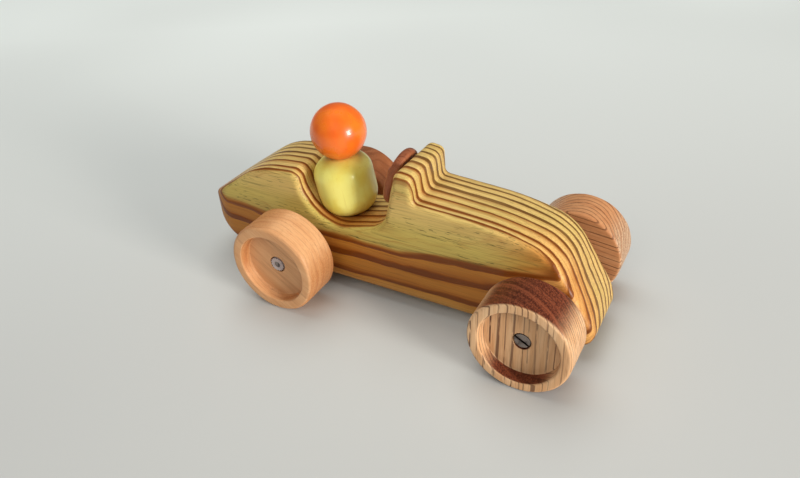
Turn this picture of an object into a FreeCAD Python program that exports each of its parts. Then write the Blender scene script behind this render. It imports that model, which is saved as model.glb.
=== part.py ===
"""Pull-back racing car: a solid softwood body with an open cockpit, a two-piece wooden driver,
a steering disc on a peg, four dished hardwood wheels and a clockwork pull-back motor let into
the underside.

Frame: millimetres. +X points to the nose, +Y to the car's left, +Z up. The origin is on the
ground, in the middle of the car's length and width."""

import FreeCAD, Part
import math
import os

os.makedirs("parts", exist_ok=True)
Vec = FreeCAD.Vector

# ---- body -----------------------------------------------------------------------------------
BODY_HALF = 17.0            # half the thickness of the board
GROUND_CLEARANCE = 6.0
TAIL_X = -98.2
NOSE_X = 99.0
EDGE_ROUND = 2.3            # all long edges, sanded round
TAIL_CORNER = 16.0          # rounding of the tail and the nose, seen from above
NOSE_CORNER = 4.5
END_SPARE = 0.5             # the plan outline stands this far beyond the ends of the profile
# corners of the side profile: x, z and the radius that rounds each one
PROFILE = [
    (-76.6, GROUND_CLEARANCE, 35.0),     # underside sweeps up to the tail
    (-88.8, 15.8, 20.0),
    (-103.0, 27.4, 7.5),                 # tip of the tail
    (-61.4, 55.6, 40.0),                 # back of the tail hump
    (-39, 57.2, 4.6),                    # crest behind the driver
    (-36.1, 30.0, 20.0),                 # cockpit hollow
    (4.6, 39.2, 13.0),                   # foot of the windscreen
    (11.5, 68.6, 3.1),
    (19.4, 67.2, 3.1),
    (19.8, 54.9, 2.2),                   # back of the hood
    (57.4, 52.4, 120.0),
    (79.9, 46.6, 24.0),
    (97, 19.5, 30.0),
    (100.6, 11.0, 5.0),                  # chin of the nose
    (94.0, GROUND_CLEARANCE, 12.0),
]

# ---- wheels ---------------------------------------------------------------------------------
REAR_R = 21.75
FRONT_R = 21.2
WHEEL_W = 18.5
TRACK_OUTER = 43.6          # outer faces of the wheels, from the middle plane
REAR_X = -38.6
FRONT_X = 77.4
DISH_DEPTH = 5.0            # recess in the wheel's outer face
DISH_R = 16.0
DISH_DRAFT = 0.7            # the recess is this much wider at its mouth
LIP_ROUND = 0.6
REAR_SHOULDER = 1.6         # rounding from the tread to the outer face
FRONT_SHOULDER = 1.3
BACK_ROUND = 1.2
FLOOR_Y = TRACK_OUTER - DISH_DEPTH
BACK_Y = TRACK_OUTER - WHEEL_W

# ---- axles, hubs and screws -----------------------------------------------------------------
SLIP = 0.05                 # radial clearance of a running fit
GAP = 0.2                   # end float beside a wheel
SHAFT_R = 1.5
AXLE_SLOT_R = 2.5           # slots in the body sides for the drive axle
HUB_TIP_R = 3.45
HUB_ROOT_R = 2.95
HUB_TEETH = 16
SPACER_R = 3.4
SHOULDER_R = 2.0            # shoulder screws that carry the front wheels
THREAD_R = 1.5
THREAD_LEN = 13.0
HEAD_R = 3.5
HEAD_T = 2.2
COUNTERBORE_R = 3.85
COUNTERBORE_T = 2.6
WASHER_R = 4.6
WASHER_T = 0.6
SLOT_W = 0.9

# ---- driver and steering ----------------------------------------------------------------------
SEAT = (-20.7, 33.1)        # lower pole of the driver's body
SEAT_LEAN = 11.0            # degrees, towards the tail
DRIVER_R = 13.8
DRIVER_H = 28.7
DRIVER_TOP_ROUND = 8.7
DRIVER_BASE_ROUND = 10.6
HEAD_CENTRE = (-25.0, 73.0)
BALL_R = 12.6
DOWEL_R = 2.5
SOCKET_GAP = 0.15
DISC = (5.7, 57.4)          # centre of the steering disc
DISC_R = 13.0
DISC_T = 4.2
DISC_EDGE = 1.6
DISC_TILT = 14.0            # degrees, top leaning forwards
PEG_R = 2.5
PEG_HEAD_R = 4.0

# ---- pull-back motor --------------------------------------------------------------------------
MODULE = 0.4
PRESSURE_ANGLE = math.radians(20.0)
BACKLASH = 0.12
PINION_T = 12
IDLER_T = 30
SPRING_T = 36
IDLER_DIR = 150.0           # direction from the axle to the idler, from +X towards +Z
SPRING_DIR = 190.0          # direction from the idler to the spring gear
CASE_X = (-64.9, -32.4)
CASE_Z = (8.5, 33.8)
CASE_HALF = 10.5
CASE_WALL = 1.4
CASE_CORNERS = (3.0, 3.0, 9.0, 3.0)
BOSS_R = 1.9
CASE_SCREW_R = 0.8
CASE_SCREW_HEAD_R = 1.7
CASE_SCREW_HEAD_T = 0.8
POCKET_GAP = 0.3
POCKET_HALF = 11.6
COVER_T = 2.4
COVER_X = (-70.6, -26.4)
COVER_HALF = 12.4
COVER_GAP = 0.15
COVER_SCREW_R = 1.1
COVER_SCREW_HEAD_R = 2.2
COVER_SCREW_LEN = 10.0
SPRING_Y = (-8.2, -1.6)
SPRING_STRIP = 0.35
SPRING_TURNS = 5
SPRING_OUTER_R = 6.9
ARBOR_R = 2.2


def polar(origin, distance, degrees):
    """Point (x, z) at a distance and direction from another point in the XZ plane."""
    angle = math.radians(degrees)
    return (origin[0] + distance * math.cos(angle), origin[1] + distance * math.sin(angle))


AXLE = (REAR_X, REAR_R)
FRONT = (FRONT_X, FRONT_R)
IDLER = polar(AXLE, MODULE * (PINION_T + IDLER_T) / 2, IDLER_DIR)
SPRING = polar(IDLER, MODULE * (PINION_T + SPRING_T) / 2, SPRING_DIR)
CASE_BOSSES = [(-35.2, 12.2), (-62.0, 11.6), (-62.2, 31.2), (-38.0, 30.6)]
DRIVER_AXIS = Vec(-math.sin(math.radians(SEAT_LEAN)), 0, math.cos(math.radians(SEAT_LEAN)))
DISC_AXIS = Vec(math.cos(math.radians(DISC_TILT)), 0, -math.sin(math.radians(DISC_TILT)))


# ---- helpers ------------------------------------------------------------------------------------
def save(name, shape):
    """Write one node; a node of several like fasteners stays a group of separate solids."""
    solids = shape.Solids
    assert solids and shape.isValid(), name
    out = solids[0] if len(solids) == 1 else Part.makeCompound(solids)
    out.exportStep("parts/%s.step" % name)
    print("%-22s solids %2d  volume %10.2f" % (name, len(solids), sum(s.Volume for s in solids)))


def at(point, y=0.0):
    return Vec(point[0], y, point[1])


def rod(centre, radius, y0, y1):
    """Cylinder along Y, from y0 to y1, through the (x, z) centre."""
    return Part.makeCylinder(radius, y1 - y0, at(centre, y0), Vec(0, 1, 0))


def tube(centre, outer, inner, y0, y1):
    return rod(centre, outer, y0, y1).cut(rod(centre, inner, y0 - 1, y1 + 1))


def box(x, y, z):
    return Part.makeBox(x[1] - x[0], y[1] - y[0], z[1] - z[0], Vec(x[0], y[0], z[0]))


def left_of(shape):
    """The same piece on the car's other side."""
    return shape.mirror(Vec(0, 0, 0), Vec(0, 1, 0))


def line(a, b):
    return Part.LineSegment(at(a), at(b)).toShape()


def quarter(centre, radius, start):
    """A 90 degree arc in the XZ plane, anticlockwise from the start angle in degrees."""
    points = [at(polar(centre, radius, start + step)) for step in (0, 45, 90)]
    return Part.Arc(*points).toShape()


def corner(a, b, c, radius):
    """Arc that rounds the corner b between the straights a-b and b-c, with its two ends."""
    back = (at(a) - at(b)).normalize()
    ahead = (at(c) - at(b)).normalize()
    half = back.getAngle(ahead) / 2
    reach = radius / math.tan(half)
    middle = at(b) + (back + ahead).normalize() * (radius / math.sin(half) - radius)
    start = at(b) + back * reach
    stop = at(b) + ahead * reach
    return Part.Arc(start, middle, stop).toShape(), start, stop


def outline(corners):
    """Closed face in the XZ plane from corners (x, z, radius) in order."""
    count = len(corners)
    arcs = [corner(corners[i - 1], corners[i], corners[(i + 1) % count], corners[i][2])
            for i in range(count)]
    edges = []
    for i in range(count):
        arc, _, stop = arcs[i]
        start = arcs[(i + 1) % count][1]
        edges.append(arc)
        if stop.distanceToPoint(start) > 1e-6:
            edges.append(Part.LineSegment(stop, start).toShape())
    return Part.Face(Part.Wire(edges))


def slab(corners, y0, y1):
    """Outline in the XZ plane, thickened from y0 to y1."""
    face = outline(corners)
    face.translate(Vec(0, y0, 0))
    return face.extrude(Vec(0, y1 - y0, 0))


def plate(corners, z0, z1):
    """Outline given as (x, y, radius), thickened from z0 to z1."""
    face = outline(corners)
    face.rotate(Vec(0, 0, 0), Vec(1, 0, 0), -90)
    face.translate(Vec(0, 0, z0))
    return face.extrude(Vec(0, 0, z1 - z0))


def rectangle(x, z, radii):
    """Corners of a rectangle, anticlockwise from its low one, with their radii."""
    return [(x[0], z[0], radii[0]), (x[1], z[0], radii[1]),
            (x[1], z[1], radii[2]), (x[0], z[1], radii[3])]


def turned(edges, origin, axis):
    """Solid of revolution: closed edges drawn as (radius, height), stood on origin along axis."""
    face = Part.Face(Part.Wire(Part.__sortEdges__(edges)))
    solid = face.revolve(Vec(0, 0, 0), Vec(0, 0, 1), 360)
    solid.Placement = FreeCAD.Placement(origin, FreeCAD.Rotation(Vec(0, 0, 1), axis))
    return solid


# ---- body -----------------------------------------------------------------------------------------
def is_wall(face):
    """A side face of the blank, or one of its upright corner faces."""
    surface = face.Surface
    if isinstance(surface, Part.Plane):
        return abs(surface.Axis.y) > 0.999
    return isinstance(surface, Part.Cylinder) and abs(surface.Axis.z) > 0.999


def body_blank():
    """Board sawn to the side profile, cornered at both ends, with every long edge rounded."""
    sawn = slab(PROFILE, -BODY_HALF, BODY_HALF)
    back, front = TAIL_X - END_SPARE, NOSE_X + END_SPARE
    ends = [(back, -BODY_HALF, TAIL_CORNER), (front, -BODY_HALF, NOSE_CORNER),
            (front, BODY_HALF, NOSE_CORNER), (back, BODY_HALF, TAIL_CORNER)]
    blank = sawn.common(plate(ends, 0, 80))
    long_edges = []
    for edge in blank.Edges:
        faces = blank.ancestorsOfType(edge, Part.Face)
        if sum(is_wall(face) for face in faces) == 1:
            long_edges.append(edge)
    return blank.makeFillet(EDGE_ROUND, long_edges)


def motor_pocket():
    """Cavity for the motor, rebate for its cover and slots for the drive axle."""
    x = (CASE_X[0] - POCKET_GAP, CASE_X[1] + POCKET_GAP)
    z = (GROUND_CLEARANCE - 1, CASE_Z[1] + POCKET_GAP)
    pocket = slab(rectangle(x, z, (0.5, 0.5) + CASE_CORNERS[2:]), -POCKET_HALF, POCKET_HALF)
    half = COVER_HALF + COVER_GAP
    x = (COVER_X[0] - COVER_GAP, COVER_X[1] + COVER_GAP)
    rebate = plate(rectangle(x, (-half, half), (3, 3, 3, 3)), GROUND_CLEARANCE - 1,
                   GROUND_CLEARANCE + COVER_T)
    slot = box((REAR_X - AXLE_SLOT_R, REAR_X + AXLE_SLOT_R), (-BODY_HALF - 1, BODY_HALF + 1),
               (0, REAR_R))
    crown = rod(AXLE, AXLE_SLOT_R, -BODY_HALF - 1, BODY_HALF + 1)
    return [pocket, rebate, slot, crown]


def body():
    wood = body_blank()
    cuts = motor_pocket()
    cuts.append(driver_form(SOCKET_GAP))
    cuts.append(seat_dowel())
    cuts.append(peg_stem())
    for x, y in cover_screw_places():
        cuts.append(Part.makeCylinder(COVER_SCREW_R, COVER_SCREW_LEN,
                                      Vec(x, y, GROUND_CLEARANCE), Vec(0, 0, 1)))
    thread = rod(FRONT, THREAD_R, -BODY_HALF - 1, THREAD_LEN - BODY_HALF)
    cuts += [thread, left_of(thread)]
    for cut in cuts:
        wood = wood.cut(cut)
    return wood


# ---- driver ---------------------------------------------------------------------------------------
def driver_form(grow=0.0):
    """Barrel with a bowl-shaped base and rounded shoulders, leaning back in its seat."""
    r, h = DRIVER_R + grow, DRIVER_H + grow
    low, top = DRIVER_BASE_ROUND, DRIVER_TOP_ROUND
    base = -grow
    edges = [line((0, base), (r - low, base)), quarter((r - low, base + low), low, -90),
             line((r, base + low), (r, h - top)), quarter((r - top, h - top), top, 0),
             line((r - top, h), (0, h)), line((0, h), (0, base))]
    return turned(edges, at(SEAT), DRIVER_AXIS)


def head_ball():
    return Part.makeSphere(BALL_R, at(HEAD_CENTRE))


def seat_dowel():
    """Dowel that pins the driver into the cockpit floor."""
    return Part.makeCylinder(DOWEL_R, 18.0, at(SEAT) - DRIVER_AXIS * 9.0, DRIVER_AXIS)


def neck_dowel():
    """Dowel that joins the head to the shoulders, parallel to the driver's axis."""
    return Part.makeCylinder(DOWEL_R, 19.0, at(HEAD_CENTRE) - DRIVER_AXIS * 20.5, DRIVER_AXIS)


def driver_body():
    return driver_form().cut(head_ball()).cut(seat_dowel()).cut(neck_dowel())


def driver_head():
    return head_ball().cut(neck_dowel())


# ---- steering -------------------------------------------------------------------------------------
def peg_stem(grow=0.0):
    """Stem of the peg, from behind the disc into the windscreen."""
    start = at(DISC) - DISC_AXIS * (DISC_T / 2 + 1.0)
    return Part.makeCylinder(PEG_R + grow, 13.0, start, DISC_AXIS)


def steering_wheel():
    t, e, r = DISC_T, DISC_EDGE, DISC_R
    bore = PEG_R + SLIP
    edges = [line((bore, 0), (r - e, 0)), quarter((r - e, e), e, -90), line((r, e), (r, t - e)),
             quarter((r - e, t - e), e, 0), line((r - e, t), (bore, t)), line((bore, t), (bore, 0))]
    return turned(edges, at(DISC) - DISC_AXIS * (t / 2), DISC_AXIS)


def steering_peg():
    """Peg with a domed head that keeps the disc on its stem."""
    dome = Part.makeSphere(PEG_HEAD_R, at(DISC) - DISC_AXIS * (DISC_T / 2 + GAP),
                           DISC_AXIS * -1, 0, 90, 360)
    return dome.fuse(peg_stem()).removeSplitter()


# ---- wheels ---------------------------------------------------------------------------------------
def wheel(centre, r, bore, s):
    """Right-hand wheel of radius r: flat back, dished outer face, tread corner rounded by s."""
    w, b, lip = WHEEL_W, BACK_ROUND, LIP_ROUND
    mouth = DISH_R + DISH_DRAFT
    floor = w - DISH_DEPTH
    edges = [line((bore, 0), (r - b, 0)), quarter((r - b, b), b, -90), line((r, b), (r, w - s)),
             quarter((r - s, w - s), s, 0), line((r - s, w), (mouth + lip, w)),
             quarter((mouth + lip, w - lip), lip, 90), line((mouth, w - lip), (DISH_R, floor)),
             line((DISH_R, floor), (bore, floor)), line((bore, floor), (bore, 0))]
    return turned(edges, at(centre, -BACK_Y), Vec(0, -1, 0))


def rear_wheel():
    return wheel(AXLE, REAR_R, HUB_TIP_R, REAR_SHOULDER)


def front_wheel():
    sunk = rod(FRONT, COUNTERBORE_R, -FLOOR_Y - 1, COUNTERBORE_T - FLOOR_Y)
    return wheel(FRONT, FRONT_R, SHOULDER_R + SLIP, FRONT_SHOULDER).cut(sunk)


def star(centre, tip, root, teeth, y0, y1):
    """Splined rod: straight-sided ribs between two radii."""
    points = []
    for i in range(2 * teeth):
        radius = tip if i % 2 else root
        for side in (-0.3, 0.3):
            points.append(at(polar(centre, radius, (i + side) * 180.0 / teeth), y0))
    face = Part.Face(Part.makePolygon(points + points[:1]))
    return face.extrude(Vec(0, y1 - y0, 0))


def rear_hub():
    """Splined bush between the drive axle and the wheel."""
    ribs = star(AXLE, HUB_TIP_R - 0.01, HUB_ROOT_R, HUB_TEETH, -FLOOR_Y - 0.2, -BACK_Y)
    return ribs.cut(rod(AXLE, SHAFT_R, -FLOOR_Y - 1, 0))


def rear_spacer():
    return tube(AXLE, SPACER_R, SHAFT_R, -BACK_Y, -BODY_HALF - 2 * GAP)


def drive_axle():
    return rod(AXLE, SHAFT_R, -FLOOR_Y, FLOOR_Y)


def front_screw():
    """Slotted shoulder screw that the front wheel turns on."""
    seat = COUNTERBORE_T - FLOOR_Y - GAP / 2
    head = rod(FRONT, HEAD_R, seat - HEAD_T, seat)
    rim = [edge for edge in head.Edges if abs(edge.BoundBox.YMax - (seat - HEAD_T)) < 0.01]
    head = head.makeFillet(0.5, rim)
    shank = rod(FRONT, SHOULDER_R, seat, -BODY_HALF)
    thread = rod(FRONT, THREAD_R, -BODY_HALF, THREAD_LEN - BODY_HALF)
    slot = box((FRONT_X - HEAD_R - 1, FRONT_X + HEAD_R + 1), (seat - HEAD_T - 1, seat - HEAD_T / 2),
               (FRONT_R - SLOT_W / 2, FRONT_R + SLOT_W / 2))
    slot.rotate(at(FRONT), Vec(0, 1, 0), 30)
    return head.fuse(shank).fuse(thread).removeSplitter().cut(slot)


def front_washer():
    start = -BACK_Y + GAP
    return tube(FRONT, WASHER_R, SHOULDER_R, start, start + WASHER_T)


def front_spacer():
    return tube(FRONT, SPACER_R, SHOULDER_R, -BACK_Y + GAP + WASHER_T, -BODY_HALF)


# ---- pull-back motor --------------------------------------------------------------------------------
def involute(angle):
    return math.tan(angle) - angle


def gear(centre, teeth, tooth_at, y0, y1):
    """Spur gear with one tooth centred on the direction tooth_at, in degrees."""
    pitch_r = MODULE * teeth / 2
    base_r = pitch_r * math.cos(PRESSURE_ANGLE)
    root_r = pitch_r - 1.24 * MODULE
    tip_r = pitch_r + 0.84 * MODULE
    half_pitch = math.pi / (2 * teeth) - BACKLASH / (4 * pitch_r)
    flank = []
    for radius in (root_r, max(base_r, root_r + 0.02), pitch_r, tip_r):
        turn = involute(math.acos(base_r / radius)) if radius > base_r else 0.0
        flank.append((radius, half_pitch + involute(PRESSURE_ANGLE) - turn))
    points = []
    for tooth in range(teeth):
        middle = tooth_at + tooth * 360.0 / teeth
        for radius, half in flank:
            points.append(at(polar(centre, radius, middle - math.degrees(half)), y0))
        for radius, half in reversed(flank):
            points.append(at(polar(centre, radius, middle + math.degrees(half)), y0))
    face = Part.Face(Part.makePolygon(points + points[:1]))
    return face.extrude(Vec(0, y1 - y0, 0))


def gap_facing(direction, teeth):
    """Tooth angle of a gear whose tooth gap faces back along a direction."""
    return direction + 180.0 + 180.0 / teeth


def axle_pinion():
    return gear(AXLE, PINION_T, IDLER_DIR, 3.6, 8.6).cut(rod(AXLE, SHAFT_R, 0, 10))


def idler_shaft():
    return rod(IDLER, 1.0, -CASE_HALF + 0.2, CASE_HALF - 0.2)


def idler_gear():
    wide = gear(IDLER, IDLER_T, gap_facing(IDLER_DIR, IDLER_T), 4.6, 7.2)
    small = gear(IDLER, PINION_T, SPRING_DIR, -1.0, 4.6)
    return wide.fuse(small).cut(rod(IDLER, 1.0, -2, 8))


def spring_gear():
    wheel_blank = gear(SPRING, SPRING_T, gap_facing(SPRING_DIR, SPRING_T), -0.2, 2.4)
    return wheel_blank.cut(rod(SPRING, SHAFT_R, -1, 3))


def spring_arbor():
    shaft = rod(SPRING, SHAFT_R, -CASE_HALF + 0.2, CASE_HALF - 0.2)
    core = rod(SPRING, ARBOR_R, SPRING_Y[0] - 0.2, -0.2)
    hook_slot = box((SPRING[0] + ARBOR_R - 1.2, SPRING[0] + ARBOR_R + 1), SPRING_Y,
                    (SPRING[1] - 0.6, SPRING[1] + 0.6))
    return shaft.fuse(core).removeSplitter().cut(hook_slot)


def mainspring():
    """Coiled steel strip; its outer end reaches the boss of the case that it hooks on."""
    inner, outer = ARBOR_R + 0.2, SPRING_OUTER_R
    dx = CASE_BOSSES[2][0] - SPRING[0]
    dz = CASE_BOSSES[2][1] - SPRING[1]
    total = 360.0 * SPRING_TURNS + math.degrees(math.atan2(dz, dx))
    reach = math.hypot(dx, dz) - BOSS_R
    steps = 12 * SPRING_TURNS
    near, far = [], []
    for i in range(steps + 1):
        turn = total * i / steps
        radius = inner + (outer - inner) * i / steps
        near.append(at(polar(SPRING, radius, turn), SPRING_Y[0]))
        far.append(at(polar(SPRING, radius + SPRING_STRIP, turn), SPRING_Y[0]))
    curves = []
    for path in (near, far):
        curve = Part.BSplineCurve()
        curve.interpolate(path)
        curves.append(curve.toShape())
    ends = [Part.LineSegment(near[0], far[0]).toShape(), Part.LineSegment(near[-1], far[-1]).toShape()]
    face = Part.Face(Part.Wire(Part.__sortEdges__(curves + ends)))
    strip = face.extrude(Vec(0, SPRING_Y[1] - SPRING_Y[0], 0))
    tail_start = polar(SPRING, outer + 0.05, total)
    tail = Part.makeBox(reach - outer - 0.05, SPRING_Y[1] - SPRING_Y[0], SPRING_STRIP)
    tail.rotate(Vec(0, 0, 0), Vec(0, 1, 0), -total)
    tail.translate(at(tail_start, SPRING_Y[0]))
    return strip.fuse(tail)


def case_shell():
    """Outside and inside of the motor case, as two solids."""
    outer = slab(rectangle(CASE_X, CASE_Z, CASE_CORNERS), -CASE_HALF, CASE_HALF)
    x = (CASE_X[0] + CASE_WALL, CASE_X[1] - CASE_WALL)
    z = (CASE_Z[0] + CASE_WALL, CASE_Z[1] - CASE_WALL)
    radii = [radius - CASE_WALL for radius in CASE_CORNERS]
    inner = slab(rectangle(x, z, radii), -CASE_HALF + CASE_WALL, CASE_HALF - CASE_WALL)
    return outer, inner


def case_half(side):
    """One half of the case: side is -1 for the right half and 1 for the left."""
    outer, inner = case_shell()
    shell = outer.cut(inner)
    reach = (-CASE_HALF, 0) if side < 0 else (0, CASE_HALF)
    for boss in CASE_BOSSES:
        shell = shell.fuse(rod(boss, BOSS_R, -CASE_HALF + 0.2, CASE_HALF - 0.2))
    shell = shell.common(box((CASE_X[0] - 1, CASE_X[1] + 1), reach, (0, 60)))
    for centre, radius in ((AXLE, SHAFT_R), (IDLER, 1.0), (SPRING, SHAFT_R)):
        shell = shell.cut(rod(centre, radius + SLIP, -CASE_HALF - 1, CASE_HALF + 1))
    for boss in CASE_BOSSES:
        shell = shell.cut(rod(boss, CASE_SCREW_R, -7.0, CASE_HALF + 1))
    return shell.removeSplitter()


def case_screws():
    """Pan-head screws that hold the two halves of the case together."""
    screws = []
    for boss in CASE_BOSSES:
        shank = rod(boss, CASE_SCREW_R, -6.5, CASE_HALF)
        head = rod(boss, CASE_SCREW_HEAD_R, CASE_HALF, CASE_HALF + CASE_SCREW_HEAD_T)
        slot = box((boss[0] - 2, boss[0] + 2), (CASE_HALF + CASE_SCREW_HEAD_T / 2, CASE_HALF + 2),
                   (boss[1] - 0.2, boss[1] + 0.2))
        screws.append(shank.fuse(head).cut(slot))
    return Part.makeCompound(screws)


def cover_screw_places():
    x_back = (COVER_X[0] + CASE_X[0] - POCKET_GAP) / 2
    x_front = (COVER_X[1] + CASE_X[1] + POCKET_GAP) / 2
    return [(x, y) for x in (x_back, x_front) for y in (-8.0, 8.0)]


def cover_screw(x, y, grow=0.0):
    """Countersunk wood screw, its head flush with the underside."""
    depth = COVER_SCREW_HEAD_R - COVER_SCREW_R
    foot = Vec(x, y, GROUND_CLEARANCE)
    cone = Part.makeCone(COVER_SCREW_HEAD_R + grow, COVER_SCREW_R + grow, depth, foot, Vec(0, 0, 1))
    shank = Part.makeCylinder(COVER_SCREW_R + grow, COVER_SCREW_LEN, foot, Vec(0, 0, 1))
    return cone.fuse(shank).removeSplitter()


def cover_screws():
    screws = []
    for x, y in cover_screw_places():
        slot = box((x - 3, x + 3), (y - 0.3, y + 0.3), (0, GROUND_CLEARANCE + 0.6))
        screws.append(cover_screw(x, y).cut(slot))
    return Part.makeCompound(screws)


def motor_cover():
    y = (-COVER_HALF, COVER_HALF)
    cover = plate(rectangle(COVER_X, y, (2.8, 2.8, 2.8, 2.8)), GROUND_CLEARANCE,
                  GROUND_CLEARANCE + COVER_T)
    for x, y in cover_screw_places():
        cover = cover.cut(cover_screw(x, y, 0.02))
    return cover


# ---- write every node -------------------------------------------------------------------------------
def build():
    single = {
        "body": body, "driver_body": driver_body, "driver_head": driver_head,
        "driver_seat_dowel": seat_dowel, "driver_neck_dowel": neck_dowel,
        "steering_wheel": steering_wheel, "steering_peg": steering_peg,
        "drive_axle": drive_axle, "axle_pinion": axle_pinion, "idler_gear": idler_gear,
        "idler_shaft": idler_shaft, "spring_gear": spring_gear, "spring_arbor": spring_arbor,
        "mainspring": mainspring, "motor_case_screws": case_screws,
        "motor_cover": motor_cover, "motor_cover_screws": cover_screws,
    }
    for name, make in single.items():
        save(name, make())
    save("motor_case_right", case_half(-1))
    save("motor_case_left", case_half(1))
    paired = {"rear_wheel": rear_wheel, "rear_hub": rear_hub, "rear_spacer": rear_spacer,
              "front_wheel": front_wheel, "front_screw": front_screw,
              "front_washer": front_washer, "front_spacer": front_spacer}
    for name, make in paired.items():
        right = make()
        save(name + "_right", right)
        save(name + "_left", left_of(right))


build()
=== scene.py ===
"""Looks of the pull-back racing car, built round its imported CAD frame.

The body is a sanded softwood board whose growth rings lie round a pith beside the car, the
wheels and the steering disc are turned hardwood, the driver is two painted wooden pieces, and
the clockwork motor keeps its CAD shapes. Lengths named here are millimetres; Blender's are
metres."""

import math

import bmesh
import bpy
from mathutils import Matrix, Vector, noise


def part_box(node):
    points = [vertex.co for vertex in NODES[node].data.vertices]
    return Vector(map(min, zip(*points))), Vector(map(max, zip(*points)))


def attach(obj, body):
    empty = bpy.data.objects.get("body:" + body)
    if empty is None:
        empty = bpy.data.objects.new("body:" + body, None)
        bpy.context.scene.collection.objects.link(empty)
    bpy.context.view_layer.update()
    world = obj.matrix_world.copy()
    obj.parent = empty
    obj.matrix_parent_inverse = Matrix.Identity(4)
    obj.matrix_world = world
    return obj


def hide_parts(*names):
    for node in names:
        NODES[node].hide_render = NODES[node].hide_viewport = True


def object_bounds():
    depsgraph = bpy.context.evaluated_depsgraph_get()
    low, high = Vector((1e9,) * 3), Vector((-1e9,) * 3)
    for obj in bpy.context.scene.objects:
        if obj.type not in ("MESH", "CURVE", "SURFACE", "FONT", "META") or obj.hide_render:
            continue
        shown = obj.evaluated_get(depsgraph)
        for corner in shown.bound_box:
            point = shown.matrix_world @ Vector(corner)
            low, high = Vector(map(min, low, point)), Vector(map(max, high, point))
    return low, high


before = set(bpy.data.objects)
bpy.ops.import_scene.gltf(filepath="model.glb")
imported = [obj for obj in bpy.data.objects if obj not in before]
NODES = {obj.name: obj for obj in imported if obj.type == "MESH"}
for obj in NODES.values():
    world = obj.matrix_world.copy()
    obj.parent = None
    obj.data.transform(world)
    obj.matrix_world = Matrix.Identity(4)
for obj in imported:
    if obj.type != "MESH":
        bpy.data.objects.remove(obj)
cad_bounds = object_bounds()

MM = 0.001
QUARTER = math.pi / 2

# ---- sizes of the turned and carved pieces ------------------------------------------------------
DISH_FLOOR_R = 16.0
DISH_MOUTH_R = 16.7
DISH_DEPTH = 5.0
LIP_ROUND = 0.8
FLOOR_ROUND = 0.5
BORE_ROUND = 0.3
REAR_SHOULDER = 1.6
FRONT_SHOULDER = 1.3
BACK_ROUND = 1.2
REAR_BORE_R = 4.0
FRONT_BORE_R = 2.05
COUNTERBORE_R = 3.85
COUNTERBORE_DEPTH = 2.6
COUNTERBORE_ROUND = 0.2
COUNTERBORE_MOUTH_ROUND = 0.35
DRIVER_FOOT = Vector((-20.7, 0.0, 33.1))
DRIVER_LEAN = math.radians(11.0)
DRIVER_AXIS = Vector((-math.sin(DRIVER_LEAN), 0.0, math.cos(DRIVER_LEAN)))
DRIVER_R = 13.8
DRIVER_H = 28.7
DRIVER_BASE_ROUND = 10.6
DRIVER_TOP_ROUND = 8.7
DISC_R = 13.0
DISC_T = 4.2
DISC_EDGE = 1.9
DISC_TILT = math.radians(14.0)
BODY_VOXEL = 0.64
BODY_SANDING = 3            # rounds of smoothing
ON_AXIS = 1e-6              # an outline point this near the axis is on it
DENT_RATE = 0.16            # how fast the tooling's unevenness changes, per millimetre
DENT_LEVEL = 0.6            # noise above this leaves no dent

# ---- growth rings of the body's board -----------------------------------------------------------
PITH_Y = -63.5
PITH_Z = 47.5
PITH_RISE = 6.0             # the inner rings climb this far from the windscreen to the nose
PITH_RISE_SPAN = (14.0, 88.0)
TAIL_DRIFT = 1.0            # the pith lies this much farther off at the end of the tail
TAIL_DRIFT_SPAN = (-20.0, -99.0)
NOSE_DRIFT = 1.6            # the rings lie this much nearer the pith at the nose
NOSE_DRIFT_SPAN = (45.0, 95.0)
RING_RADII = (44.5, 50.2, 53.7, 59.3, 64.1, 68.5, 72.7, 76.2, 79.6, 82.8, 86.0, 89.0)

# ---- the floor's shading ------------------------------------------------------------------------
# The floor's painted shade: darker and warmer towards the front, brighter away from it, for the
# falloff of the lamps' light.
FLOOR_TURN = math.radians(30.72)
FLOOR_SPAN = (-160.0, 420.0)    # the floor brightens over this stretch of its turned Y


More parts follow.
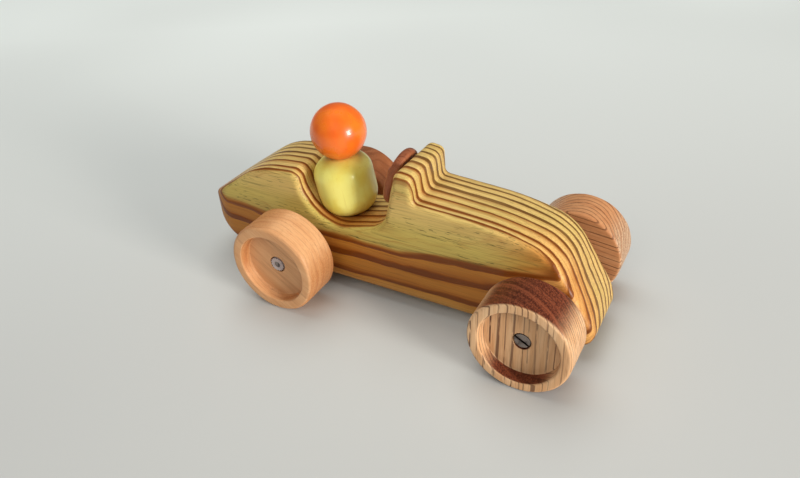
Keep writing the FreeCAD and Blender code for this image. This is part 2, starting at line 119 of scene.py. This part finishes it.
# ---- material building --------------------------------------------------------------------------
class Tree:
    """Short forms for building one material's node tree on its Principled shader."""

    def __init__(self, name, **shader):
        self.material = bpy.data.materials.new(name)
        self.material.use_nodes = True
        self.nodes = self.material.node_tree.nodes
        self.links = self.material.node_tree.links
        self.shader = self.nodes["Principled BSDF"]
        for key, value in shader.items():
            self.shader.inputs[key.replace("_", " ")].default_value = value

    def feed(self, socket, value):
        """Links a socket to the value, or sets it when the value is a plain one."""
        if isinstance(value, bpy.types.NodeSocket):
            self.links.new(value, socket)
        else:
            socket.default_value = value

    def add(self, kind, inputs, output=0, **settings):
        """A new node's output, with its inputs fed and its own settings set."""
        node = self.nodes.new("ShaderNode" + kind)
        for key, value in settings.items():
            setattr(node, key, value)
        for key, value in inputs.items():
            self.feed(node.inputs[key], value)
        return node.outputs[output]

    def math(self, operation, a, b=0.0):
        """One arithmetic step on two values."""
        return self.add("Math", {0: a, 1: b}, operation=operation)

    def spread(self, value, low, high, to_low=0.0, to_high=1.0, smooth=True):
        """value's range low to high taken to to_low to to_high, and held there outside it."""
        kind = "SMOOTHSTEP" if smooth else "LINEAR"
        ends = {"From Min": low, "From Max": high, "To Min": to_low, "To Max": to_high}
        return self.add("MapRange", {"Value": value, **ends}, interpolation_type=kind)

    def place(self, turn=(0.0, 0.0, 0.0)):
        """Object coordinates in millimetres, turned by three angles in radians."""
        coordinates = self.add("TexCoord", {}, "Object")
        sized = {"Vector": coordinates, "Scale": (1 / MM,) * 3, "Rotation": turn}
        return self.add("Mapping", sized)

    def normal(self):
        """The surface direction in the object's own axes."""
        return self.add("TexCoord", {}, "Normal")

    def axes(self, vector):
        """The x, y and z of a vector."""
        node = self.nodes.new("ShaderNodeSeparateXYZ")
        self.links.new(vector, node.inputs[0])
        return list(node.outputs)

    def vector(self, x, y, z):
        return self.add("CombineXYZ", {0: x, 1: y, 2: z})

    def noise(self, vector, lengths, detail=2.0, roughness=0.5):
        """Noise whose features are about lengths (x, y, z) millimetres long."""
        rates = {"Vector": vector, "Scale": tuple(1 / length for length in lengths)}
        grain = {"Vector": self.add("Mapping", rates), "Scale": 1.0}
        return self.add("TexNoise", {**grain, "Detail": detail, "Roughness": roughness})

    def mix(self, factor, a, b):
        """Colour a where factor is 0 and colour b where it is 1."""
        node = self.nodes.new("ShaderNodeMix")
        node.data_type = "RGBA"
        for socket, value in zip((0, 6, 7), (factor, a, b)):
            if isinstance(value, tuple) and len(value) == 3:
                value = (*value, 1.0)
            self.feed(node.inputs[socket], value)
        return node.outputs[2]

    def bump(self, height, depth):
        """Bump of a height from 0 to 1 that stands for depth millimetres."""
        inputs = {"Height": height, "Distance": depth * MM, "Strength": 1.0}
        self.feed(self.shader.inputs["Normal"], self.add("Bump", inputs))

    def finish(self, colour, roughness=None):
        """The finished material, with its colour and, where it varies, its roughness fed."""
        self.feed(self.shader.inputs["Base Color"], colour)
        if roughness is not None:
            self.feed(self.shader.inputs["Roughness"], roughness)
        return self.material


def ring_radius(t, spot, x, y, z):
    """Distance from the pith, with the rings' waviness and their drift at tail and nose."""
    slow = t.noise(spot, (90.0, 26.0, 26.0), 1.0)
    quick = t.noise(spot, (16.0, 5.0, 5.0), 2.0)
    waves = t.spread(slow, 0.2, 0.8, -0.9, 0.9)
    wander = t.math("ADD", waves, t.spread(quick, 0.2, 0.8, -0.25, 0.25))
    at_tail = t.spread(x, *TAIL_DRIFT_SPAN, 0.0, TAIL_DRIFT)
    across = t.math("ADD", t.math("SUBTRACT", y, PITH_Y), at_tail)
    height = t.math("SUBTRACT", z, PITH_Z)
    flat = t.math("MULTIPLY", across, across)
    reach = t.math("SQRT", t.math("ADD", flat, t.math("MULTIPLY", height, height)))
    inside = t.spread(reach, RING_RADII[1], RING_RADII[2] + 1.8, 1.0, 0.0, smooth=False)
    climb = t.spread(x, *PITH_RISE_SPAN, 0.0, PITH_RISE, smooth=False)
    height = t.math("SUBTRACT", height, t.math("MULTIPLY", inside, climb))
    squares = t.math("ADD", flat, t.math("MULTIPLY", height, height))
    at_nose = t.spread(x, *NOSE_DRIFT_SPAN, 0.0, NOSE_DRIFT)
    return t.math("ADD", t.math("SQRT", squares), t.math("ADD", wander, at_nose))


def pine():
    """Oiled softwood board: growth rings with soft inner and sharp outer edges, a greenish
    zone in the first ring, resin flecks and fine grain along X."""
    green = (0.60, 0.47, 0.115)
    straw = (0.76, 0.52, 0.18)
    honey = (0.50, 0.165, 0.011)
    peach = (0.90, 0.48, 0.15)
    rust = (0.58, 0.17, 0.02)
    amber = (0.34, 0.085, 0.008)
    umber = (0.30, 0.17, 0.05)
    late_red = (0.175, 0.038, 0.003)
    late_brown = (0.12, 0.05, 0.009)
    pore = (0.14, 0.07, 0.02)
    resin = (0.075, 0.075, 0.02)
    t = Tree("pine", Roughness=0.45, Specular_IOR_Level=0.2, Coat_Weight=0.04, Coat_Roughness=0.25)
    spot = t.place()
    x, y, z = t.axes(spot)
    radius = ring_radius(t, spot, x, y, z)
    # ring count, growing by one at each ring's outer edge
    count = 0.0
    for inner, outer in zip(RING_RADII, RING_RADII[1:]):
        count = t.math("ADD", count, t.spread(radius, inner, outer, smooth=False))
    year = t.math("FLOOR", count)
    season = t.math("FRACT", count)
    near = t.spread(radius, RING_RADII[2], RING_RADII[6], 1.0, 0.0)
    random_year = t.add("TexWhiteNoise", {"W": year}, noise_dimensions="1D")
    first = t.math("LESS_THAN", count, 1.0)
    late_from = t.spread(random_year, 0.0, 1.0, 0.50, 0.66, smooth=False)
    late_from = t.spread(first, 0.0, 1.0, late_from, 0.74, smooth=False)
    uneven = t.noise(spot, (45.0, 9.0, 9.0), 1.0)
    late_from = t.math("ADD", late_from, t.spread(uneven, 0.3, 0.7, -0.07, 0.07))
    late_full = t.math("ADD", late_from, 0.17)
    late = t.spread(season, late_from, late_full)
    late = t.math("MULTIPLY", late, t.spread(season, 0.94, 1.0, 1.0, 0.0, smooth=False))
    strength = t.spread(t.noise(spot, (30.0, 6.0, 6.0), 2.0), 0.3, 0.65, 0.84, 1.0)
    late = t.math("MULTIPLY", late, strength)
    halo = t.spread(first, 0.0, 1.0, 0.34, 0.08)
    warm = t.spread(season, t.math("SUBTRACT", late_from, halo), late_full)
    # colours
    # Darker, redder honey fills the board low down and near the pith, down into the cockpit floor:
    # painted shade on the lower sides and in the cockpit.
    lower_near = t.spread(near, 0.0, 1.0, 0.1, 1.0)
    low = t.math("MULTIPLY", t.spread(z, 46.0, 32.0), lower_near)
    front = t.spread(x, 48.0, 84.0)
    green_zone = t.spread(radius, RING_RADII[1] - 0.5, RING_RADII[1] - 1.7)
    tone = t.noise(spot, (60.0, 9.0, 9.0), 2.0)
    early = t.mix(t.spread(tone, 0.35, 0.7, 0.0, 0.4), straw, green)
    early = t.mix(t.math("MULTIPLY", low, 0.88), early, honey)
    # The green zone fades out upwards between z 40 and 51, so the windscreen's sides are paler
    # straw: partly the board's own tone, partly painted light on the windscreen's sides.
    pale = t.spread(z, 40.0, 51.0, 0.92, 0.1)
    early = t.mix(t.math("MULTIPLY", green_zone, pale), early, green)
    nose_tint = t.math("MULTIPLY", front, t.spread(tone, 0.3, 0.6, 0.35, 0.8))
    early = t.mix(t.math("MULTIPLY", nose_tint, near), early, t.mix(green_zone, peach, rust))
    body = t.mix(t.math("MULTIPLY", warm, t.spread(near, 0.0, 1.0, 0.3, 0.8)), early, amber)
    # growth within a year shows as fine stripes that follow the rings
    lamina = t.noise(t.vector(x, radius, 0.0), (70.0, 0.8, 1.0), 3.0, 0.65)
    body = t.mix(t.spread(lamina, 0.46, 0.72, 0.0, 0.45), body, t.mix(near, umber, amber))
    dark = t.mix(near, late_brown, late_red)
    colour = t.mix(t.math("MULTIPLY", late, 0.93), body, dark)
    # fine grain and flecks
    fibre = t.noise(spot, (26.0, 0.5, 0.5), 3.0, 0.6)
    colour = t.mix(t.spread(fibre, 0.4, 0.75, 0.0, 0.35), colour, pore)
    fleck = t.noise(spot, (5.0, 0.42, 0.42), 1.0)
    patch = t.noise(spot, (26.0, 7.0, 7.0), 1.0)
    fleck = t.math("MULTIPLY", t.spread(fleck, 0.64, 0.69), t.spread(patch, 0.45, 0.56))
    streak = t.noise(spot, (34.0, 1.1, 1.1), 2.0)
    streak = t.spread(streak, 0.58, 0.72, 0.0, 0.5)
    fleck = t.math("MULTIPLY", t.math("MAXIMUM", fleck, streak), green_zone)
    colour = t.mix(t.math("MULTIPLY", fleck, 0.85), colour, resin)
    relief = t.math("ADD", t.math("MULTIPLY", late, 0.85), t.math("MULTIPLY", fibre, 0.15))
    t.bump(relief, 0.3)
    return t.finish(colour, t.spread(late, 0.0, 1.0, 0.46, 0.34))


def hardwood(name, light, mid, dark, line, turn, slant, spacing, line_strength, ends):
    """Turned hardwood. turn takes the grain to the material's X. slant is how fast the ring
    count grows along its Y and Z, spacing is about the width of a ring in millimetres, and
    ends are the dark and light tones of the end grain."""
    t = Tree(name, Roughness=0.42, Specular_IOR_Level=0.25, Coat_Weight=0.04, Coat_Roughness=0.3)
    spot = t.place(turn)
    x, y, z = t.axes(spot)
    sway = t.spread(t.noise(spot, (90.0, 14.0, 14.0), 1.0), 0.2, 0.8, -0.5, 0.5)
    lay = t.math("ADD", t.math("MULTIPLY", y, slant[0]), t.math("MULTIPLY", z, slant[1]))
    count = t.math("DIVIDE", t.math("ADD", lay, sway), spacing)
    uneven = t.noise(spot, (300.0, 5.0, 12.0), 1.0)
    count = t.math("ADD", count, t.spread(uneven, 0.2, 0.8, -0.35, 0.35))
    season = t.math("FRACT", count)
    year = t.math("FLOOR", count)
    chance = t.add("TexWhiteNoise", {"W": year}, noise_dimensions="1D")
    breaks = t.noise(spot, (9.0, 1.5, 1.5), 2.0)
    ring = t.math("MULTIPLY", t.spread(season, 0.72, 0.84), t.spread(season, 0.95, 1.0, 1.0, 0.0))
    ring = t.math("MULTIPLY", ring, t.spread(breaks, 0.3, 0.44))
    ring = t.math("MULTIPLY", ring, t.spread(chance, 0.0, 1.0, 0.45, 1.0, smooth=False))
    tone = t.noise(spot, (40.0, 3.0, 3.0), 3.0, 0.6)
    colour = t.mix(t.spread(tone, 0.3, 0.7), light, mid)
    streak = t.noise(spot, (11.0, 0.35, 0.35), 3.0, 0.65)
    colour = t.mix(t.spread(streak, 0.5, 0.72, 0.0, 0.55), colour, dark)
    along = t.axes(t.add("Mapping", {"Vector": t.normal(), "Rotation": turn}))[0]
    end_grain = t.spread(t.math("ABSOLUTE", along), 0.4, 0.85)
    pores = t.noise(spot, (0.8, 0.45, 0.9), 2.0, 0.7)
    bands = t.noise(t.vector(0.0, lay, 0.0), (1.0, 2.4, 1.0), 2.0)
    ends_tone = t.math("ADD", t.math("MULTIPLY", pores, 0.5), t.math("MULTIPLY", bands, 0.5))
    speckle = t.mix(t.spread(ends_tone, 0.42, 0.58), *ends)
    colour = t.mix(end_grain, colour, speckle)
    colour = t.mix(t.math("MULTIPLY", ring, line_strength), colour, line)
    rough = t.spread(streak, 0.3, 0.7, 0.4, 0.52)
    t.bump(t.math("SUBTRACT", t.math("MULTIPLY", streak, -0.5), ring), 0.08)
    return t.finish(colour, rough)


def paint(name, base, deep, worn, roughness, coat):
    """Brushed paint on turned wood: faint grain telegraphing through and slightly uneven tone."""
    t = Tree(name, Roughness=roughness, Coat_Weight=coat, Coat_Roughness=0.08)
    spot = t.place((0.0, DRIVER_LEAN, 0.0))
    blotch = t.noise(spot, (9.0, 9.0, 12.0), 3.0)
    grain = t.noise(spot, (0.7, 0.7, 14.0), 3.0, 0.6)
    colour = t.mix(t.spread(blotch, 0.35, 0.7), base, deep)
    colour = t.mix(t.spread(grain, 0.55, 0.8, 0.0, 0.35), colour, worn)
    peel = t.noise(spot, (1.8, 1.8, 2.6), 2.0)
    height = t.math("ADD", t.math("MULTIPLY", grain, 0.6), peel)
    t.bump(height, 0.035)
    return t.finish(colour, t.spread(blotch, 0.3, 0.7, roughness - 0.04, roughness + 0.05))


def metal(name, colour, tarnish, roughness, lengths=(2.0, 2.0, 2.0)):
    """Machined metal with faint tarnish and drawing marks."""
    t = Tree(name, Metallic=1.0, Roughness=roughness)
    spot = t.place()
    cloud = t.noise(spot, (3.0, 3.0, 3.0), 3.0)
    marks = t.noise(spot, lengths, 2.0)
    t.bump(marks, 0.02)
    shade = t.mix(t.spread(cloud, 0.4, 0.75), colour, tarnish)
    return t.finish(shade, t.spread(marks, 0.3, 0.7, roughness - 0.08, roughness + 0.1))


def plastic(name, colour, shade, roughness):
    """Moulded plastic with a fine spark-eroded texture and slight flow marks."""
    t = Tree(name, Roughness=roughness, Specular_IOR_Level=0.5)
    spot = t.place()
    flow = t.noise(spot, (8.0, 3.0, 8.0), 2.0)
    pits = t.noise(spot, (0.25, 0.25, 0.25), 1.0)
    t.bump(pits, 0.012)
    mixed = t.mix(t.spread(flow, 0.35, 0.7), colour, shade)
    return t.finish(mixed, t.spread(pits, 0.3, 0.7, roughness - 0.05, roughness + 0.08))


def floor_paper():
    """Matt studio floor, painted a little darker and warmer towards the front: painted shade for
    the falloff of the lamps' light.
    """
    t = Tree("floor_paper", Roughness=0.9, Specular_IOR_Level=0.2)
    spot = t.place((0.0, 0.0, -FLOOR_TURN))
    fibre = t.noise(spot, (2.0, 2.0, 2.0), 2.0)
    t.bump(fibre, 0.01)
    # painted shade: the floor darkens and warms towards the front, for the falloff of the lamps'
    # light
    painted_falloff = t.spread(t.axes(spot)[1], *FLOOR_SPAN, smooth=False)
    tone = t.noise(spot, (400.0, 400.0, 400.0), 1.0)
    paper_and_painted_falloff = t.mix(painted_falloff, (0.49, 0.48, 0.46), (0.86, 0.89, 0.85))
    return t.finish(t.mix(t.spread(tone, 0.3, 0.7, 0.0, 0.4), paper_and_painted_falloff, (0.65, 0.66, 0.63)))


# ---- shapes -------------------------------------------------------------------------------------
def rounded(corners, step=math.radians(9.0)):
    """Points of an outline through (a, b, radius) corners, each rounded by its radius. The
    first and last corners stay sharp."""
    points = [Vector(corners[0][:2])]
    for before, corner, after in zip(corners, corners[1:], corners[2:]):
        here = Vector(corner[:2])
        back = (Vector(before[:2]) - here).normalized()
        ahead = (Vector(after[:2]) - here).normalized()
        half = back.angle(ahead) / 2
        radius = corner[2]
        if radius == 0 or half > math.radians(89.5):
            points.append(here)
            continue
        centre = here + (back + ahead).normalized() * (radius / math.sin(half))
        start = here + back * (radius / math.tan(half)) - centre
        end = here + ahead * (radius / math.tan(half)) - centre
        turn = math.pi - 2 * half
        count = max(2, round(turn / step))
        for i in range(count + 1):
            share = i / count
            weight = math.sin((1 - share) * turn), math.sin(share * turn)
            points.append(centre + (start * weight[0] + end * weight[1]) / math.sin(turn))
    points.append(Vector(corners[-1][:2]))
    return points


def filled_in(points, longest):
    """The same outline with no stretch longer than longest."""
    out = [points[0]]
    for a, b in zip(points, points[1:]):
        pieces = max(1, math.ceil((b - a).length / longest))
        out += [a.lerp(b, i / pieces) for i in range(1, pieces + 1)]
    return out


def turned(name, outline, origin, axis, segments=144, unevenness=0.0):
    """A lathe-turned piece: outline is (radius, distance along the axis) points, which either
    start and end on the axis or close on themselves round a bore."""
    axis = axis.normalized()
    side = axis.orthogonal().normalized()
    other = axis.cross(side)
    closed = outline[0].x > ON_AXIS
    rows = outline[:-1] if closed else outline
    mesh = bmesh.new()
    rings = []
    for radius, along in rows:
        centre = origin + axis * along
        if radius < ON_AXIS:
            rings.append([mesh.verts.new(centre)])
            continue
        ring = []
        for i in range(segments):
            angle = 2 * math.pi * i / segments
            out = side * math.cos(angle) + other * math.sin(angle)
            point = centre + out * radius
            dent = unevenness * (noise.noise(point * DENT_RATE + origin) - DENT_LEVEL)
            ring.append(mesh.verts.new(point + out * min(dent, 0.0)))
        rings.append(ring)
    pairs = list(zip(rings, rings[1:] + rings[:1])) if closed else list(zip(rings, rings[1:]))
    for low, high in pairs:
        for i in range(segments):
            j = (i + 1) % segments
            corners = [low[i % len(low)], low[j % len(low)]]
            corners += [high[j % len(high)], high[i % len(high)]]
            mesh.faces.new(list(dict.fromkeys(corners)))
    bmesh.ops.recalc_face_normals(mesh, faces=mesh.faces)
    for vertex in mesh.verts:
        vertex.co *= MM
    return piece(name, mesh)


def piece(name, mesh):
    """A smooth-shaded object from a bmesh."""
    data = bpy.data.meshes.new(name)
    mesh.to_mesh(data)
    mesh.free()
    data.shade_smooth()
    made = bpy.data.objects.new(name, data)
    bpy.context.scene.collection.objects.link(made)
    return made


def dress(made, material, slot, body, *replaced):
    """Gives a piece its material and body, and hides the CAD nodes it stands for. The slot
    argument is not used.
    """
    made.data.materials.clear()
    made.data.materials.append(material)
    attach(made, body)
    if replaced:
        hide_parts(*replaced)
    return made


def middle(node):
    """Centre and size of a CAD node's box, in millimetres."""
    low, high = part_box(node)
    return (low + high) / 2 / MM, (high - low) / MM


# ---- the body -----------------------------------------------------------------------------------
def sanded_body():
    """The CAD body's form with its edges eased as by hand sanding."""
    mesh = bmesh.new()
    mesh.from_mesh(NODES["body"].data)
    bmesh.ops.remove_doubles(mesh, verts=mesh.verts, dist=1e-6)
    made = piece("body_shell", mesh)
    remesh = made.modifiers.new("even", "REMESH")
    remesh.mode = "VOXEL"
    remesh.voxel_size = BODY_VOXEL * MM
    remesh.use_smooth_shade = True
    ease = made.modifiers.new("sand", "SMOOTH")
    ease.factor = 0.5
    ease.iterations = BODY_SANDING
    graph = bpy.context.evaluated_depsgraph_get()
    data = bpy.data.meshes.new_from_object(made.evaluated_get(graph))
    made.modifiers.clear()
    made.data = data
    data.shade_smooth()
    return made


# ---- wheels -------------------------------------------------------------------------------------
def wheel(node, shoulder, bore, counterbore=None):
    """A dished wheel turned about Y, from the size of its CAD node. The dish faces outwards,
    and counterbore is the radius and depth of a second step in its floor."""
    centre, size = middle(node)
    radius = size.z / 2
    width = size.y
    floor = width / 2 - DISH_DEPTH
    if counterbore:
        wide, depth = counterbore
        corners = [
            (bore, 0.0, 0.0),
            (bore, floor - depth, COUNTERBORE_ROUND),
            (wide, floor - depth, COUNTERBORE_ROUND),
            (wide, floor, COUNTERBORE_MOUTH_ROUND),
        ]
    else:
        corners = [(bore, 0.0, 0.0), (bore, floor, BORE_ROUND)]
    corners += [
        (DISH_FLOOR_R, floor, FLOOR_ROUND),
        (DISH_MOUTH_R, width / 2, LIP_ROUND),
        (radius, width / 2, shoulder),
        (radius, -width / 2, BACK_ROUND),
        (bore, -width / 2, BORE_ROUND),
        (bore, 0.0, 0.0),
    ]
    outward = Vector((0.0, math.copysign(1.0, centre.y), 0.0))
    outline = filled_in(rounded(corners), 1.6)
    return turned(node + "_turned", outline, centre, outward, unevenness=0.12)


# ---- the driver and the steering disc -----------------------------------------------------------
def driver_body():
    """The barrel, standing on its foot and leaning back."""
    corners = [
        (0.0, 0.0, 0.0),
        (DRIVER_R, 0.0, DRIVER_BASE_ROUND),
        (DRIVER_R, DRIVER_H, DRIVER_TOP_ROUND),
        (0.0, DRIVER_H, 0.0),
    ]
    outline = filled_in(rounded(corners, math.radians(4.0)), 1.2)
    return turned("driver_body_turned", outline, DRIVER_FOOT, DRIVER_AXIS, unevenness=0.15)


def driver_head():
    """The ball, of its CAD node's width and with its top at the same height."""
    centre, size = middle("driver_head")
    radius = size.x / 2
    centre.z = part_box("driver_head")[1].z / MM - radius
    steps = 72
    outline = []
    for i in range(steps + 1):
        angle = math.pi * i / steps
        outline.append(Vector((radius * math.sin(angle), -radius * math.cos(angle))))
    outline[0].x = 0.0
    outline[-1].x = 0.0
    return turned("driver_head_turned", outline, centre, DRIVER_AXIS, unevenness=0.1)


def steering_disc():
    """The disc behind the windscreen, square to its tilted peg."""
    centre = middle("steering_wheel")[0]
    axis = Vector((math.cos(DISC_TILT), 0.0, -math.sin(DISC_TILT)))
    half = DISC_T / 2
    corners = [
        (0.0, -half, 0.0),
        (DISC_R, -half, DISC_EDGE),
        (DISC_R, half, DISC_EDGE),
        (0.0, half, 0.0),
    ]
    outline = filled_in(rounded(corners), 1.0)
    return turned("steering_disc_turned", outline, centre, axis, unevenness=0.05)


# ---- materials ----------------------------------------------------------------------------------
PINE = pine()
REAR_NEAR = hardwood(
    "rear_wheel_ash",
    light=(0.76, 0.42, 0.20), mid=(0.68, 0.34, 0.15), dark=(0.48, 0.2, 0.08),
    line=(0.34, 0.13, 0.05), ends=((0.5, 0.2, 0.07), (0.6, 0.28, 0.11)),
    turn=(-QUARTER, 0.0, 0.6), slant=(0.14, 1.0), spacing=2.2, line_strength=0.3,
)
# The far rear wheel is the near wheel's wood painted much darker and redder: painted shade for the
# far side, which lies in shadow.
REAR_FAR_SHADED = hardwood(
    "rear_wheel_cherry",
    light=(0.42, 0.15, 0.06), mid=(0.34, 0.11, 0.04), dark=(0.22, 0.07, 0.025),
    line=(0.15, 0.04, 0.015), ends=((0.22, 0.07, 0.025), (0.33, 0.12, 0.05)),
    turn=(-QUARTER, 0.0, 1.1), slant=(1.0, 0.55), spacing=5.0, line_strength=0.4,
)
# The near front wheel's end grain, on the top and bottom of its tread, is painted nearly black:
# the oak's darker end grain with painted shade on the tread's top added.
FRONT_NEAR = hardwood(
    "front_wheel_oak",
    light=(0.80, 0.51, 0.28), mid=(0.69, 0.38, 0.18), dark=(0.38, 0.15, 0.06),
    line=(0.08, 0.02, 0.01), ends=((0.07, 0.014, 0.006), (0.24, 0.062, 0.026)),
    turn=(QUARTER, 0.0, QUARTER), slant=(0.42, 0.95), spacing=1.4, line_strength=0.95,
)
# The far front wheel is the front oak painted darker: painted shade for the far side of the car.
FRONT_FAR_SHADED = hardwood(
    "front_wheel_oak_far",
    light=(0.60, 0.29, 0.13), mid=(0.52, 0.22, 0.09), dark=(0.36, 0.14, 0.055),
    line=(0.09, 0.03, 0.012), ends=((0.40, 0.19, 0.09), (0.62, 0.42, 0.26)),
    turn=(-QUARTER, 0.0, 0.12), slant=(1.0, 0.95), spacing=2.6, line_strength=0.8,
)
DISC_WOOD = hardwood(
    "steering_mahogany",
    light=(0.42, 0.15, 0.065), mid=(0.33, 0.1, 0.04), dark=(0.2, 0.055, 0.022),
    line=(0.1, 0.025, 0.012), ends=((0.2, 0.055, 0.022), (0.3, 0.1, 0.045)),
    turn=(0.0, QUARTER, 0.2), slant=(1.0, 0.55), spacing=5.0, line_strength=0.35,
)
DOWEL = hardwood(
    "dowel_birch",
    light=(0.68, 0.48, 0.27), mid=(0.6, 0.4, 0.21), dark=(0.48, 0.29, 0.13),
    line=(0.36, 0.2, 0.09), ends=((0.48, 0.29, 0.13), (0.5, 0.33, 0.17)),
    turn=(0.0, QUARTER, 0.0), slant=(1.0, 0.55), spacing=2.5, line_strength=0.3,
)
YELLOW = paint(
    "yellow_paint", base=(0.96, 0.88, 0.22), deep=(0.89, 0.73, 0.11), worn=(0.66, 0.47, 0.05),
    roughness=0.34, coat=0.2,
)
ORANGE = paint(
    "orange_paint", base=(0.93, 0.20, 0.012), deep=(0.85, 0.13, 0.01), worn=(0.75, 0.11, 0.01),
    roughness=0.28, coat=0.35,
)
STEEL = metal("zinc_steel", (0.26, 0.22, 0.20), (0.03, 0.02, 0.02), 0.2)
SPRING_STEEL = metal("blued_spring_steel", (0.22, 0.24, 0.3), (0.12, 0.12, 0.16), 0.35)
HUB = plastic("hub_plastic", (0.60, 0.51, 0.48), (0.40, 0.31, 0.29), 0.45)
GEAR = plastic("gear_acetal", (0.86, 0.84, 0.78), (0.78, 0.76, 0.7), 0.4)
CASE = plastic("case_plastic", (0.08, 0.085, 0.095), (0.055, 0.06, 0.07), 0.5)
COVER = hardwood(
    "cover_birch_ply",
    light=(0.66, 0.45, 0.24), mid=(0.58, 0.38, 0.19), dark=(0.46, 0.27, 0.12),
    line=(0.34, 0.19, 0.08), ends=((0.46, 0.27, 0.12), (0.42, 0.26, 0.12)),
    turn=(0.0, 0.0, 0.0), slant=(1.0, 0.55), spacing=7.0, line_strength=0.35,
)

SLOT_MATERIALS = {
    "body_wood": PINE,
    "rear_wheel_wood": REAR_NEAR,
    "front_wheel_wood": FRONT_NEAR,
    "steering_wood": DISC_WOOD,
    "driver_paint": YELLOW,
    "head_paint": ORANGE,
    "dowel_wood": DOWEL,
    "steel": STEEL,
    "spring_steel": SPRING_STEEL,
    "hub_plastic": HUB,
    "gear_plastic": GEAR,
    "case_plastic": CASE,
    "cover_wood": COVER,
}
for node in NODES.values():
    for slot in node.material_slots:
        slot.material = SLOT_MATERIALS[slot.material.name.split(".")[0]]

# ---- pieces -------------------------------------------------------------------------------------
dress(sanded_body(), PINE, "body_wood", "chassis", "body")
dress(driver_body(), YELLOW, "driver_paint", "chassis", "driver_body")
dress(driver_head(), ORANGE, "head_paint", "chassis", "driver_head")
dress(steering_disc(), DISC_WOOD, "steering_wood", "steering", "steering_wheel")
# The far (left) rear wheel takes the copy of the wheel wood that is painted darker as painted
# shade.
for side, wood in (("right", REAR_NEAR), ("left", REAR_FAR_SHADED)):
    node = "rear_wheel_" + side
    made = wheel(node, REAR_SHOULDER, REAR_BORE_R)
    dress(made, wood, "rear_wheel_wood", "rear_axle", node)
# The far (left) front wheel takes the copy of the oak that is painted darker as painted shade.
for side, wood in (("right", FRONT_NEAR), ("left", FRONT_FAR_SHADED)):
    node = "front_wheel_" + side
    made = wheel(node, FRONT_SHOULDER, FRONT_BORE_R, (COUNTERBORE_R, COUNTERBORE_DEPTH))
    dress(made, wood, "front_wheel_wood", node, node)

# ---- stage, camera and light --------------------------------------------------------------------
FLOOR_HALF = 3.0
CAMERA_TARGET = Vector((0.0020, 0.0009, -0.0199))
CAMERA_DISTANCE = 0.3248
CAMERA_AZIMUTH = math.radians(30.72)
CAMERA_ELEVATION = math.radians(34.0)
CAMERA_ROLL = math.radians(-3.35)
LENS = 31.45
WORLD_STRENGTH = 0.14
CAR_CENTRE = (cad_bounds[0] + cad_bounds[1]) / 2


def stage_floor():
    """The plain floor that the car stands on."""
    mesh = bmesh.new()
    bmesh.ops.create_grid(mesh, x_segments=8, y_segments=8, size=FLOOR_HALF)
    floor = piece("floor", mesh)
    floor.location.z = cad_bounds[0].z
    floor.data.materials.append(floor_paper())


def direction(azimuth, elevation):
    """Unit vector from the car towards a viewer or a lamp."""
    flat = math.cos(elevation)
    return Vector((math.sin(azimuth) * flat, -math.cos(azimuth) * flat, math.sin(elevation)))


def set_camera():
    """A camera that looks down on the car's right front corner."""
    data = bpy.data.cameras.new("camera")
    data.lens = LENS
    data.clip_start = 0.01
    camera = bpy.data.objects.new("camera", data)
    bpy.context.scene.collection.objects.link(camera)
    back = direction(CAMERA_AZIMUTH, CAMERA_ELEVATION)
    level = Vector((math.cos(CAMERA_AZIMUTH), math.sin(CAMERA_AZIMUTH), 0.0))
    upright = back.cross(level)
    right = level * math.cos(CAMERA_ROLL) + upright * math.sin(CAMERA_ROLL)
    up = back.cross(right)
    turn = Matrix((right, up, back)).transposed()
    place = CAR_CENTRE + CAMERA_TARGET + back * CAMERA_DISTANCE
    camera.matrix_world = Matrix.Translation(place) @ turn.to_4x4()
    bpy.context.scene.camera = camera


def softbox(name, azimuth, elevation, distance, width, height, power, colour, glints=False):
    """An area lamp that faces the car. Only one that glints shows in reflections."""
    data = bpy.data.lights.new(name, "AREA")
    data.shape = "RECTANGLE"
    data.size = width
    data.size_y = height
    data.energy = power
    data.color = colour
    lamp = bpy.data.objects.new(name, data)
    lamp.visible_glossy = glints
    towards = direction(math.radians(azimuth), math.radians(elevation))
    lamp.location = CAR_CENTRE + towards * distance
    lamp.rotation_euler = towards.to_track_quat("Z", "Y").to_euler()
    bpy.context.scene.collection.objects.link(lamp)


def set_light():
    """A dim pale surround, a low window beyond the nose and two broad soft lamps."""
    world = bpy.data.worlds.new("studio")
    world.use_nodes = True
    background = world.node_tree.nodes["Background"]
    background.inputs["Color"].default_value = (0.93, 0.97, 1.0, 1.0)
    background.inputs["Strength"].default_value = WORLD_STRENGTH
    bpy.context.scene.world = world
    softbox(
        "window", azimuth=76.0, elevation=11.0, distance=1.4, width=0.4, height=0.4,
        power=19.0, colour=(1.0, 0.96, 0.91), glints=True,
    )
    softbox(
        "overhead", azimuth=230.0, elevation=72.0, distance=1.7, width=1.6, height=1.6,
        power=21.5, colour=(0.98, 1.0, 0.99),
    )
    softbox(
        "front_fill", azimuth=12.0, elevation=44.0, distance=1.8, width=1.2, height=1.0,
        power=8.4, colour=(1.0, 0.99, 0.97),
    )


stage_floor()
set_camera()
set_light()
bpy.context.scene.view_settings.view_transform = "Standard"
